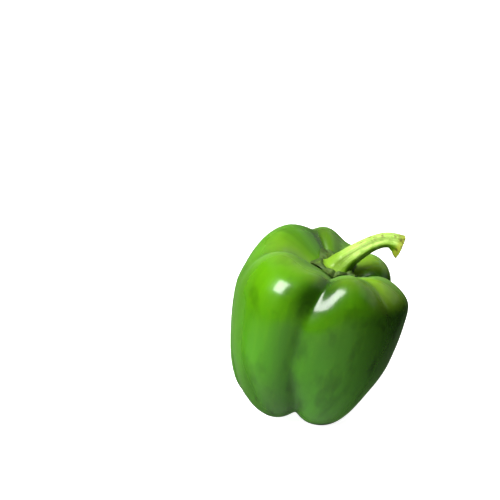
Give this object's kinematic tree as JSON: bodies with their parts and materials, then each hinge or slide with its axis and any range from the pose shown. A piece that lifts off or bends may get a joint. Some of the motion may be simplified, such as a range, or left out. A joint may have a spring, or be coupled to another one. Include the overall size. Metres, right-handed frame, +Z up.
{
  "type": "green bell pepper",
  "caption": "Whole green bell pepper with lobed, grooved flanks, a star-shaped calyx sunk in the crown and a bent, cut stem; it leans on its blossom-end tips.",
  "frame": {"origin": "centre of the bounding box's bottom face, on the surface that the pepper stands on", "axes": "+Z up, +X the way the pepper leans and its stem points, -Y the side that the picture shows"},
  "size_m": [0.088, 0.088, 0.0952],
  "materials": {
    "skin": "smooth waxy green skin, glossy",
    "calyx": "dull green leafy skin with fine ribs",
    "stem": "pale green ridged skin, half matt, with a dry cut end"
  },
  "bodies": {
    "root": {"fruit": "skin", "calyx": "calyx", "stem": "stem"}
  },
  "joints": []
}
